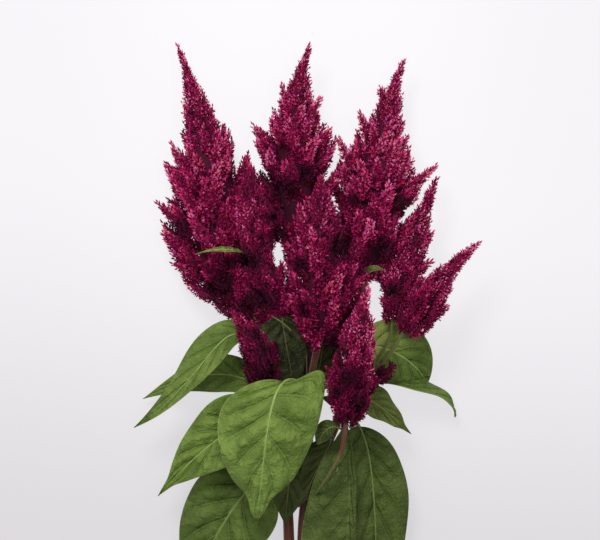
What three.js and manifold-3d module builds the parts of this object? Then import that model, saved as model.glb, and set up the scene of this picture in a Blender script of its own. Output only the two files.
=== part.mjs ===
// Plumed celosia: one cut, branching stem with ten feathery plumes and its leaves, lying on its back.
// Units are millimetres. +Y runs from the cut end to the plume tips, +Z is up from the surface it lies on,
// and the origin is on that surface, under the middle of the bounding box.
import * as THREE from "three";
import { mergeVertices } from "three/addons/utils/BufferGeometryUtils.js";
import Module from "manifold-3d";

const wasm = await Module();
wasm.setup();

// Driving dimensions
const CLEARANCE = 0.35; // gap kept between one piece and the next
const FLORET_CELL = 8; // spacing of the floret points over a plume
const FLORET_HEIGHT = 7; // how far a floret point stands out of the valleys round it
const FLORET_LEAN = 0.8; // lean of each point towards the plume's tip, as a share of its height
const SPRIG_RADII = [3, 4.5, 5, 3.6, 0]; // half-widths of a side sprig at even steps from root to tip
const SPRIG_RELIEF = 2; // how far its floret points stand out
const BLADE_THICKNESS = 0.7;
const MIDRIB_THICKNESS = 1.8;
const BLADE_POINT = 1.8; // the more, the narrower the base and the tip of a blade
const PETIOLE_HALF_WIDTH = 1.2;
const LOBE_SPREAD = 3; // the more, the closer to its base a blade's lobes stay
const STEM_SIDES = 7;
const DETAIL = 0.14; // steps in a surface smaller than this are left out

const CRIMSON = { color: 0x8c0f3f, roughness: 0.75, metalness: 0 };
const LEAF_GREEN = { color: 0x55802f, roughness: 0.55, metalness: 0 };
const STEM_RED = { color: 0x7a3a2c, roughness: 0.6, metalness: 0 };

// The branching stem. Each branch is a run of points, with its radius at the first and the last.
const BRANCHES = [
  { name: "main stem", from: 5, to: 4.7, points: [[-6, -238.5, 4.3], [-6.5, -208, 6.6], [-6.8, -178, 11]] },
  { name: "left shoot", from: 4.2, to: 3,
    points: [[-6.8, -180, 11], [-12, -148, 15], [-13.5, -118, 20], [-15.8, -81, 26], [-18, -43, 32],
      [-24, -6, 36], [-33, 22, 37], [-40, 36, 36]] },
  { name: "right shoot", from: 4.4, to: 2.8,
    points: [[-6.8, -180, 11], [-3, -148, 15], [-1.5, -118, 20], [1.5, -96, 24], [12, -70, 29], [24, -43, 33],
      [33, -6, 34], [42, 46, 33], [45, 76, 30]] },
  { name: "centre shoot", from: 3.4, to: 2.6,
    points: [[-1, -108, 22], [1.5, -73, 27], [3, -36, 31], [3, 2, 33], [1.5, 46, 34], [0, 86, 35]] },
  { name: "front plume stalk", from: 2.6, to: 2.4,
    points: [[3, -28, 31], [4, -12, 38], [7, 4, 48], [11, 22, 55]] },
  { name: "low front plume stalk", from: 1, to: 1.9,
    points: [[0, -109, 22], [9, -96, 36], [19, -81, 54], [27, -66, 61], [30, -43, 69]] },
  { name: "low left plume stalk", from: 2.3, to: 2.1,
    points: [[-18, -46, 32], [-22, -32, 42], [-28, -22, 51], [-31, -8, 56]] },
  { name: "mid left plume stalk", from: 2.3, to: 2.1,
    points: [[-20, -26, 34], [-17, 6, 38], [-16, 28, 46], [-20, 50, 54]] },
  { name: "right side plume stalk", from: 1.3, to: 1.1,
    points: [[32, -12, 34], [45, -6, 36], [54.8, 3.8, 37], [63, 19, 38], [66, 40, 38]] },
  { name: "low right plume stalk", from: 1.4, to: 1.2,
    points: [[30, -20, 34], [43.5, -12, 41], [56, -2.5, 47], [66, 11, 53], [75.5, 28, 57]] },
  { name: "bud stalk", from: 1, to: 1, points: [[48, -9, 43.5], [53, -13.5, 44.5], [57, -12.5, 46]] },
];

// The plumes. axis runs from base to tip as a cubic Bezier; radii are the half-widths out to the floret tips
// at even steps along it; depth flattens the section. sprigs are the side sprigs that break the outline: each
// is the share of the axis it leaves at, the place of its tip, and its size where that isn't 1.
const PLUMES = [
  { name: "plume_left", axis: [[-33, 20, 38], [-84, 85, 24], [-62, 150, 22], [-97, 238.5, 30]],
    radii: [5, 14, 28, 36, 36, 30, 16, 6, 0], depth: 0.74,
    sprigs: [[0.4, -102, 165, 34], [0.38, -104, 141, 30], [0.3, -112, 120, 34, 1.2], [0.22, -105, 97, 30],
      [0.16, -101, 74, 34], [0.5, -62, 178, 40], [0.36, -44, 150, 40, 1.2], [0.3, -78, 138, 56],
      [0.14, -76, 92, 58]] },
  { name: "plume_centre", axis: [[1, 68, 34], [-4, 105, 34], [-22, 185, 36], [3, 238, 38]],
    radii: [6, 21, 26, 28, 30, 28, 16, 8, 0], depth: 0.86,
    sprigs: [[0.6, -18, 208, 40], [0.42, -40, 178, 38, 1.3], [0.35, -38, 166, 46], [0.6, 10.5, 198, 44],
      [0.45, 18, 176, 44], [0.3, 22, 168, 36], [0.3, -12, 150, 64]] },
  { name: "plume_right", axis: [[44, 62, 32], [54, 103, 22], [54, 182, 21], [74, 227, 30]],
    radii: [6, 22, 30, 34, 31, 21, 11, 4.5, 0], depth: 0.8,
    sprigs: [[0.75, 56, 207, 32, 0.8], [0.55, 40, 188, 36], [0.35, 24.5, 168, 36, 1.2], [0.6, 70, 186, 30],
      [0.48, 76, 168, 32], [0.38, 82, 152, 30, 1.2], [0.3, 54, 152, 54], [0.04, 56, 64, 34, 1.3]] },
  { name: "plume_mid_left", axis: [[-17, 38, 50], [-30, 62, 60], [-42, 105, 62], [-44, 157, 50]],
    radii: [8, 18, 18, 14, 12, 12, 10, 6, 0], depth: 1,
    sprigs: [[0.04, -6, 56, 60, 1.2], [0.2, -17, 74, 68], [0.15, -46, 70, 66], [0.4, -30, 110, 72],
      [0.1, -29, 40, 62, 1.4]] },
  { name: "plume_front", axis: [[9, 18, 50], [16, 46, 62], [10, 95, 72], [12, 139.5, 60]],
    radii: [10, 21, 27, 27, 24, 19, 14, 8, 0], depth: 0.85,
    sprigs: [[0.25, 46, 98, 60, 2], [0.12, 46, 66, 62, 1.8], [0.05, -14, 46, 60, 1.4],
      [0.1, -12, 68, 62, 1.4], [0.25, 12, 92, 90, 1.4], [0.2, 28, 74, 84, 1.4], [0.4, -6, 118, 72, 1.4]] },
  { name: "plume_right_side", axis: [[66, 34, 38], [72, 66, 38], [79, 105, 38], [98.5, 147, 35]],
    radii: [6, 12, 13, 13, 12.5, 11, 8, 5, 0], depth: 1,
    sprigs: [[0.4, 95, 98, 38], [0.25, 94, 76, 40], [0.02, 57, 48, 38], [0.1, 58, 68, 40, 1.2],
      [0.55, 86, 143, 38, 1.2], [0.5, 99, 136, 38]] },
  { name: "plume_low_right", axis: [[77, 25, 53], [86, 42, 60], [100, 66, 60], [129.8, 89.5, 52]],
    radii: [5, 11, 15, 14, 11, 8.5, 6, 3.5, 0], depth: 1,
    sprigs: [[0.05, 106, 42, 58, 1.2], [0.2, 109, 60, 58], [0.1, 90, 58, 76]] },
  { name: "plume_low_front", axis: [[31, -42, 68], [33, -14, 82], [38, 20, 92], [46, 56, 84]],
    radii: [6, 12, 17, 17, 13, 12, 10, 6, 0], depth: 0.95,
    sprigs: [[0.3, 50, 16, 84], [0.15, 16, -4, 84], [0.12, 53, -12, 78], [0.2, 34, -4, 104]] },
  { name: "plume_low_left", axis: [[-31, -17, 54], [-33, 1.5, 62], [-40, 20, 65], [-55, 38, 60]],
    radii: [5, 11, 13, 13, 12, 10, 7, 4, 0], depth: 0.95,
    sprigs: [[0.1, -22, 14, 66], [0.1, -49, 12, 64]] },
  { name: "plume_bud", axis: [[54.5, -12.8, 45.5], [58, -10, 47], [62, -6, 48], [66, -1.5, 48]],
    radii: [2, 5, 5.5, 4, 0], depth: 1, sprigs: [] },
];

// The leaves. midrib is a cubic Bezier from the stem to the tip; petiole is the share of it before the blade
// starts; belly is the share of the blade where it is widest; face is the way the upper surface looks at base
// and at tip; fold lifts (or, below zero, drops) the margins by that many degrees; wave is the height of the
// margin's waves, and waves how many there are. lobes is how far the blade's halves run back past its base.
const LEAVES = [
  { name: "leaf_front", midrib: [[4, -21, 34], [-29, 10.5, 100], [-27.5, -50.5, 90], [-37, -118.5, 58]],
    halfWidth: 38.5, belly: 0.36, petiole: 0.39, face: [[-0.15, 0.1, 1], [0.1, -0.1, 1]], fold: -14,
    wave: 2.2, waves: 3, lobes: [75, 0] },
  { name: "leaf_upper_left", midrib: [[-24, -8, 36], [-62, 61, 50], [-63, -8, 64], [-130, -50, 34]],
    halfWidth: 16, belly: 0.4, petiole: 0.2, face: [[-0.5, 0.6, 1], [-0.5, 0.5, 1]], fold: 16, wave: 1,
    waves: 2 },
  { name: "leaf_left", midrib: [[-20, -28, 32], [-56, -3, 30], [-73, -4, 22], [-124, -29, 8]],
    halfWidth: 16, belly: 0.36, petiole: 0.13, face: [[0, 0.5, 1], [0, 0.4, 1]], fold: 10, wave: 1,
    waves: 2 },
  { name: "leaf_lower_left",
    midrib: [[-18, -42, 32], [-42, -36, 54], [-76, -60, 50], [-112, -102, 26]], halfWidth: 26,
    belly: 0.3, petiole: 0.19, face: [[0.1, 0.3, 1], [-0.2, 0.1, 1]], fold: 8, wave: 1.5, waves: 3 },
  { name: "leaf_bottom_left", midrib: [[-16, -72, 28], [-40, -88, 30], [-66, -118, 20], [-90, -180, 6]],
    halfWidth: 35, belly: 0.45, petiole: 0.14, face: [[0.1, 0.2, 1], [-0.1, 0.1, 1]], fold: 6, wave: 2,
    waves: 3 },
  { name: "leaf_under_front", midrib: [[18, -62, 31], [22, -64, 50], [6, -86, 50], [-6, -110, 34]],
    halfWidth: 13, belly: 0.4, petiole: 0.14, face: [[0.2, 0.3, 1], [0.2, 0, 1]], fold: -12, wave: 1.5,
    waves: 2 },
  { name: "leaf_under_left", midrib: [[-14, -70, 27], [-11, -66, 42], [-12, -88, 44], [-16, -122, 30]],
    halfWidth: 16, belly: 0.45, petiole: 0.2, face: [[0, 0.1, 1], [0, 0, 1]], fold: 6, wave: 1, waves: 2 },
  { name: "leaf_bottom_centre", midrib: [[31, -26, 34], [39, -34, 58], [7, -107, 56], [17, -204, 22]],
    halfWidth: 20.5, belly: 0.6, petiole: 0.34, face: [[-0.2, 0.2, 1], [-0.1, 0, 1]], fold: -8, wave: 2,
    waves: 3 },
  { name: "leaf_bottom_right", midrib: [[26, -40, 33], [52, -38, 40], [53, -104, 28], [54, -200, 7]],
    halfWidth: 26, belly: 0.49, petiole: 0.23, face: [[0.3, 0.2, 1], [0.2, 0, 1]], fold: 8, wave: 1.5,
    waves: 3 },
  { name: "leaf_right_low", midrib: [[29, -32, 33], [41, -17, 44], [57, -34, 40], [79.5, -55, 26]],
    halfWidth: 13.5, belly: 0.36, petiole: 0.15, face: [[0.1, 0.6, 1], [0.3, 0.5, 1]], fold: 10, wave: 1.2,
    waves: 3 },
  { name: "leaf_right_upper", midrib: [[35, -2, 33], [38, 23, 28], [79, 9, 30], [92, -17, 14]],
    halfWidth: 24.5, belly: 0.5, petiole: 0.19, face: [[0, 0.2, 1], [0.3, 0.1, 1]], fold: 8, wave: 1.5,
    waves: 2 },
  { name: "leaf_right", midrib: [[32, -17, 33], [77, -10, 27], [116, -27, 24], [113, -43, 8]],
    halfWidth: 11, belly: 0.5, petiole: 0.16, face: [[0.1, 1, 0.45], [0.5, 0.8, 0.4]], fold: 14, wave: 1,
    waves: 2 },
  { name: "leaf_middle", midrib: [[-17, 14, 41], [-18, 36, 50], [-24, 40, 80], [-10.5, -22, 52]],
    halfWidth: 13, belly: 0.6, petiole: 0.3, face: [[0, 0.8, -1], [0, 0.6, 1]], fold: -10, wave: 0.8,
    waves: 2 },
  { name: "leaf_middle_back", midrib: [[4, -26, 32], [8, -16, 38], [19, 0, 36], [22, 26, 36]],
    halfWidth: 10, belly: 0.5, petiole: 0.1, face: [[-0.2, -0.1, 1], [0.1, 0, 1]], fold: -8, wave: 0.6,
    waves: 2 },
  { name: "leaf_back_left", midrib: [[-17, -54, 29], [-34, -58, 14], [-52, -70, 4], [-70, -90, 3]],
    halfWidth: 14, belly: 0.4, petiole: 0.16, face: [[0.1, 0.2, 1], [0, 0.05, 1]], fold: 4, wave: 0.6,
    waves: 2 },
  { name: "leaf_back_right", midrib: [[17, -60, 29], [32, -62, 10], [44, -84, 3.5], [56, -116, 3]],
    halfWidth: 14, belly: 0.4, petiole: 0.16, face: [[0, 0.1, 1], [0, 0, 1]], fold: 3, wave: 0.6, waves: 2 },
  { name: "leaf_back_upper", midrib: [[3, 0, 31], [12, 18, 8], [24, 44, 2.5], [30, 74, 2.5]],
    halfWidth: 12, belly: 0.4, petiole: 0.16, face: [[-0.1, 0.1, 1], [0, 0, 1]], fold: 2, wave: 0.4,
    waves: 2 },
  { name: "leaflet_left", midrib: [[-44, 82, 40], [-55, 90, 62], [-70, 88, 70], [-82, 81.5, 64]],
    halfWidth: 3.6, belly: 0.4, petiole: 0.1, face: [[0, 0.8, 1], [0, 0.8, 1]], fold: 18, wave: 0.3,
    waves: 2, small: true },
  { name: "leaflet_right", midrib: [[43, 60, 31], [44, 74, 46], [52, 75, 50], [59.5, 68, 44]],
    halfWidth: 3.6, belly: 0.4, petiole: 0.1, face: [[0, 0.6, 1], [0.2, 0.6, 1]], fold: 14, wave: 0.3,
    waves: 2, small: true },
  { name: "leaflet_low", midrib: [[27, -50, 65], [19, -44, 71], [12, -50, 69], [8.5, -62, 60]],
    halfWidth: 7.5, belly: 0.5, petiole: 0.15, face: [[-0.1, 0.2, 1], [-0.2, -0.2, 1]], fold: -10,
    wave: 0.8, waves: 3, small: true },
  { name: "leaflet_stem", midrib: [[27, -36, 33], [24, -32, 44], [18, -28, 48], [11, -26, 46]],
    halfWidth: 3.6, belly: 0.4, petiole: 0.2, face: [[0, 0.3, 1], [0, 0.3, 1]], fold: 12, wave: 0.3,
    waves: 2, small: true },
];

// A repeatable draw from 0 to 1 for the whole number n.
function draw(n) {
  const x = Math.sin(n * 12.9898 + 78.233) * 43758.5453;
  return x - Math.floor(x);
}

function bezier(points) {
  return new THREE.CubicBezierCurve3(...points.map((p) => new THREE.Vector3(...p)));
}

// The point, tangent and two cross directions of a curve at t. hint is the way the second cross
// direction leans.
function frameAt(curve, t, hint) {
  const point = curve.getPoint(t);
  const tangent = curve.getTangent(t);
  const side = new THREE.Vector3().crossVectors(tangent, hint).normalize();
  const up = new THREE.Vector3().crossVectors(side, tangent);
  return { point, tangent, side, up };
}

// A manifold-3d solid from vertices and triangles, and the three.js geometry of such a solid.
function solidFrom(vertices, triangles) {
  const geometry = new THREE.BufferGeometry();
  const numbers = vertices.flatMap((v) => [v.x, v.y, v.z]);
  geometry.setAttribute("position", new THREE.Float32BufferAttribute(numbers, 3));
  geometry.setIndex(triangles.flat());
  const merged = mergeVertices(geometry, 1e-4);
  return new wasm.Manifold(new wasm.Mesh({
    numProp: 3,
    vertProperties: merged.attributes.position.array,
    triVerts: new Uint32Array(merged.index.array),
  }));
}

function geometryFrom(solid) {
  const mesh = solid.getMesh();
  const geometry = new THREE.BufferGeometry();
  geometry.setAttribute("position", new THREE.Float32BufferAttribute(mesh.vertProperties, 3));
  geometry.setIndex(Array.from(mesh.triVerts));
  return geometry;
}

// Triangles of a closed skin over rings of equal length, with a pole before the first ring and one after
// the last. Vertex order: base pole, the rings in turn, tip pole. Quads are cut between the corners that
// isLow picks.
function ringTriangles(rings, around, isLow) {
  const at = (j, i) => 1 + j * around + (i % around);
  const tip = 1 + rings * around;
  const triangles = [];
  for (let i = 0; i < around; i++) {
    triangles.push([0, at(0, i), at(0, i + 1)]);
    triangles.push([tip, at(rings - 1, i + 1), at(rings - 1, i)]);
    for (let j = 0; j < rings - 1; j++) {
      const [a, b, c, d] = [at(j, i), at(j, i + 1), at(j + 1, i + 1), at(j + 1, i)];
      if (isLow(i, j)) triangles.push([a, c, b], [a, d, c]);
      else triangles.push([a, d, b], [b, d, c]);
    }
  }
  return triangles;
}

// A tapering spike with a floret point at every other vertex of its skin.
// grow swells it, and slide moves it along its axis, to cut a clearance round it.
function spikeSolid({ axis, radii, depth, seed, height = FLORET_HEIGHT }, grow = 0, slide = 0) {
  const curve = bezier(axis);
  const outline = new THREE.SplineCurve(radii.map((r, i) => new THREE.Vector2(i, r)));
  const radius = Math.max(...radii);
  const chord = new THREE.Vector3().subVectors(curve.getPoint(1), curve.getPoint(0)).normalize();
  const hint = Math.abs(chord.z) > 0.8 ? new THREE.Vector3(0, 1, 0) : new THREE.Vector3(0, 0, 1);
  const around = Math.max(6, 2 * Math.round((Math.PI * 0.8 * radius) / FLORET_CELL));
  const rings = Math.max(4, Math.round(curve.getLength() / FLORET_CELL));
  const isPoint = (i, j) => (i + j) % 2 === 0;
  const vertices = [curve.getPoint(0).addScaledVector(curve.getTangent(0), slide - grow)];
  for (let j = 0; j < rings; j++) {
    const t = (j + 1) / (rings + 1);
    const { point, tangent, side, up } = frameAt(curve, t, hint);
    const r = Math.max(0.8, outline.getPoint(t).y);
    const relief = Math.min(height, 0.5 * r);
    for (let i = 0; i < around; i++) {
      const angle = (2 * Math.PI * i) / around;
      const chance = draw(seed + 31 * j + i);
      const out = isPoint(i, j) ? r * (0.9 + 0.2 * chance) : r - relief * (0.8 + 0.3 * chance);
      const lean = isPoint(i, j) ? relief * FLORET_LEAN : 0;
      vertices.push(point.clone()
        .addScaledVector(side, Math.cos(angle) * (out + grow))
        .addScaledVector(up, Math.sin(angle) * (out + grow) * depth)
        .addScaledVector(tangent, lean + slide));
    }
  }
  vertices.push(curve.getPoint(1).addScaledVector(curve.getTangent(1), slide + grow));
  return solidFrom(vertices, ringTriangles(rings, around, (i, j) => !isPoint(i, j)));
}

// The axis of a side sprig: it leaves the plume's own axis at the share t and curves up to its tip.
function sprigAxis(curve, t, tip) {
  const root = curve.getPoint(t);
  const along = curve.getTangent(t);
  const end = new THREE.Vector3(...tip);
  const reach = root.distanceTo(end);
  const first = root.clone().lerp(end, 0.4);
  const second = root.clone().lerp(end, 0.75).addScaledVector(along, -0.06 * reach);
  return [root, first, second, end].map((v) => v.toArray());
}

// One plume: its main spike with the side sprigs fused to it, down to the surface it lies on.
function plumeSolid(plume, index, grow = 0, slide = 0) {
  const curve = bezier(plume.axis);
  const main = spikeSolid({ ...plume, seed: 1000 * index }, grow, slide);
  const sprigs = plume.sprigs.map(([t, x, y, z, size = 1], k) => spikeSolid({
    axis: sprigAxis(curve, t, [x, y, z]),
    radii: SPRIG_RADII.map((r) => r * size),
    depth: 1,
    height: SPRIG_RELIEF * size,
    seed: 1000 * index + 37 * k + 500,
  }, grow, slide));
  return sprigs.reduce((whole, sprig) => whole.add(sprig), main);
}

// What a neighbour of a plume leaves free: the plume, swollen and slid both ways along its axis.
function roomForPlume(plume, index) {
  const back = plumeSolid(plume, index, 3 * CLEARANCE, -2 * CLEARANCE);
  const onward = plumeSolid(plume, index, 3 * CLEARANCE, 2 * CLEARANCE);
  return back.add(onward);
}

// A round branch along a smooth curve through its points.
function branchSolid({ points, from, to }, grow = 0) {
  const places = points.map((p) => new THREE.Vector3(...p));
  const curve = new THREE.CatmullRomCurve3(places, false, "catmullrom", 0.5);
  const rings = 2 * (points.length - 1) + 1;
  const hint = new THREE.Vector3(0, 0, 1);
  const start = curve.getPoint(0).addScaledVector(curve.getTangent(0), -grow);
  const end = curve.getPoint(1).addScaledVector(curve.getTangent(1), grow);
  const vertices = [start];
  for (let j = 0; j < rings; j++) {
    const t = j / (rings - 1);
    const { side, up } = frameAt(curve, t, hint);
    const point = j === 0 ? start : j === rings - 1 ? end : curve.getPoint(t);
    const r = THREE.MathUtils.lerp(from, to, t) + grow;
    for (let i = 0; i < STEM_SIDES; i++) {
      const angle = (2 * Math.PI * (i + 0.75)) / STEM_SIDES;
      vertices.push(point.clone()
        .addScaledVector(side, Math.cos(angle) * r)
        .addScaledVector(up, Math.sin(angle) * r));
    }
  }
  vertices.push(end);
  return solidFrom(vertices, ringTriangles(rings, STEM_SIDES, () => true));
}

function stemSolid(grow = 0) {
  return BRANCHES.map((branch) => branchSolid(branch, grow)).reduce((whole, branch) => whole.add(branch));
}

// Half-width of a leaf blade at the share s of its length: ovate, widest at the share belly, drawn out to
// a point.
function bladeWidth(halfWidth, belly, s) {
  return halfWidth * ((s / belly) ** belly * ((1 - s) / (1 - belly)) ** (1 - belly)) ** BLADE_POINT;
}

// One leaf with its petiole: a thin curved blade with the same triangles on both faces.
function leafSolid(leaf, grow = 0) {
  const { midrib, halfWidth, belly, petiole, face, fold, wave, waves, lobes = [0, 0], small = false } = leaf;
  const curve = bezier(midrib);
  const columns = small ? [-1, 0, 1] : [-1, -0.52, 0, 0.52, 1];
  const stations = small ? 7 : 10;
  const petioleStations = small ? 1 : 2;
  const [faceBase, faceTip] = face.map((f) => new THREE.Vector3(...f).normalize());
  const foldAngle = THREE.MathUtils.degToRad(fold);
  const upper = [];
  const lower = [];
  for (let j = 0; j < stations; j++) {
    const onPetiole = j < petioleStations;
    const s = (j - petioleStations) / (stations - 1 - petioleStations);
    const t = onPetiole ? (petiole * j) / petioleStations : petiole + (1 - petiole) * s;
    const { point, tangent, side, up } = frameAt(curve, t, faceBase.clone().lerp(faceTip, t).normalize());
    if (j === 0) point.addScaledVector(tangent, -grow);
    if (j === stations - 1) point.addScaledVector(tangent, grow);
    const blade = onPetiole ? 0 : bladeWidth(halfWidth, belly, s);
    const width = Math.max(blade, PETIOLE_HALF_WIDTH * (1 - 0.7 * t));
    const backward = onPetiole ? 0 : (width / halfWidth) * (1 - s) ** LOBE_SPREAD;
    const waviness = onPetiole ? 0 : wave * Math.sin(Math.PI * s);
    for (const u of columns) {
      const ripple = waviness * u * u * Math.sin(2 * Math.PI * waves * s + 1.3 * u);
      const lobe = backward * lobes[u < 0 ? 0 : 1] * Math.abs(u) ** 1.5;
      const middle = point.clone()
        .addScaledVector(side, u * (width + grow) * Math.cos(foldAngle))
        .addScaledVector(tangent, -lobe)
        .addScaledVector(up, Math.abs(u) * width * Math.sin(foldAngle) + ripple);
      const rib = (MIDRIB_THICKNESS - BLADE_THICKNESS) * (1 - t) * (onPetiole || u === 0 ? 1 : 0);
      upper.push(middle.clone().addScaledVector(up, BLADE_THICKNESS / 2 + grow));
      lower.push(middle.clone().addScaledVector(up, -BLADE_THICKNESS / 2 - rib - grow));
    }
  }
  const count = columns.length;
  const triangles = [];
  const offset = upper.length;
  const quad = (a, b, c, d) => triangles.push([a, b, c], [a, c, d]);
  for (let j = 0; j < stations - 1; j++) {
    for (let i = 0; i < count - 1; i++) {
      const a = j * count + i;
      quad(a, a + 1, a + 1 + count, a + count);
      triangles.push([a + offset, a + 1 + count + offset, a + 1 + offset]);
      triangles.push([a + offset, a + count + offset, a + 1 + count + offset]);
    }
    const left = j * count;
    const right = left + count - 1;
    quad(left, left + count, left + count + offset, left + offset);
    quad(right, right + offset, right + count + offset, right + count);
  }
  for (let i = 0; i < count - 1; i++) {
    const last = (stations - 1) * count + i;
    quad(i, i + offset, i + 1 + offset, i + 1);
    quad(last, last + 1, last + 1 + offset, last + offset);
  }
  const made = solidFrom([...upper, ...lower], triangles);
  return made.volume() < 0 ? solidFrom([...upper, ...lower], triangles.map(([a, b, c]) => [a, c, b])) : made;
}

// What is left of a solid once a clearance round each neighbour that it meets is cut away: its largest piece.
function clearOf(solid, neighbours) {
  let left = solid;
  for (const { body, grown } of neighbours) {
    if (left.minGap(body, CLEARANCE) < CLEARANCE) left = left.subtract(grown());
  }
  const pieces = left.simplify(DETAIL).decompose();
  return pieces.reduce((largest, piece) => (piece.volume() > largest.volume() ? piece : largest));
}

// The surface that it lies on, as a block to cut away what would reach below it.
function underSurface() {
  const block = new THREE.BoxGeometry(600, 700, 100);
  block.deleteAttribute("normal");
  block.deleteAttribute("uv");
  block.translate(0, 0, -50);
  const merged = mergeVertices(block);
  return new wasm.Manifold(new wasm.Mesh({
    numProp: 3,
    vertProperties: merged.attributes.position.array,
    triVerts: new Uint32Array(merged.index.array),
  }));
}

const model = new THREE.Group();

function addPiece(name, solid, look) {
  const mesh = new THREE.Mesh(geometryFrom(solid), new THREE.MeshStandardMaterial(look));
  mesh.name = name;
  model.add(mesh);
}

const surface = underSurface();
const stem = clearOf(stemSolid().subtract(surface), []);
const placed = [{ body: stem, grown: () => stemSolid(1.4 * CLEARANCE) }];
addPiece("stem", stem, STEM_RED);
PLUMES.forEach((plume, index) => {
  const solid = clearOf(plumeSolid(plume, index).subtract(surface), placed);
  placed.push({ body: solid, grown: () => roomForPlume(plume, index) });
  addPiece(plume.name, solid, CRIMSON);
});
LEAVES.forEach((leaf) => {
  const solid = clearOf(leafSolid(leaf), placed);
  placed.push({ body: solid, grown: () => leafSolid(leaf, 1.5 * CLEARANCE) });
  addPiece(leaf.name, solid, LEAF_GREEN);
});

export default model;
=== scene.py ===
# Plumed celosia: feathery plumes of small florets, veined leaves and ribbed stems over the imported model.
# Plain numbers are millimetres in the model's frame; meshes become metres when they are made.
import math

import bpy
import numpy as np
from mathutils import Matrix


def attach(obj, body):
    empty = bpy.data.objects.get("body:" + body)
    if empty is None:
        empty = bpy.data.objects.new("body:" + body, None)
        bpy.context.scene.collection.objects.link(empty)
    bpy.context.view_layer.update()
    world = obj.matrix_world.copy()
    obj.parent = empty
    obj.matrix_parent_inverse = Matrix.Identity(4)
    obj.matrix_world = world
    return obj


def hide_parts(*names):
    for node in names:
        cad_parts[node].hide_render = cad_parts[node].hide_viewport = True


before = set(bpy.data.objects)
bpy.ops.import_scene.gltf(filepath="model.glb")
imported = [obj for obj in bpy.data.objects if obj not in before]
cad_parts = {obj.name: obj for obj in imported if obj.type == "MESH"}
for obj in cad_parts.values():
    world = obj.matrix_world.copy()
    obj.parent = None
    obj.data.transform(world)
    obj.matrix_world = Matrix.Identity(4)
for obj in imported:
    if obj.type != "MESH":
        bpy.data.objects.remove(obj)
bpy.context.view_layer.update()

MM = 0.001
GOLDEN = math.pi * (3 - math.sqrt(5))  # golden angle, which spreads repeats evenly round an axis
UP = np.array([0.0, 0.0, 1.0])

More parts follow.
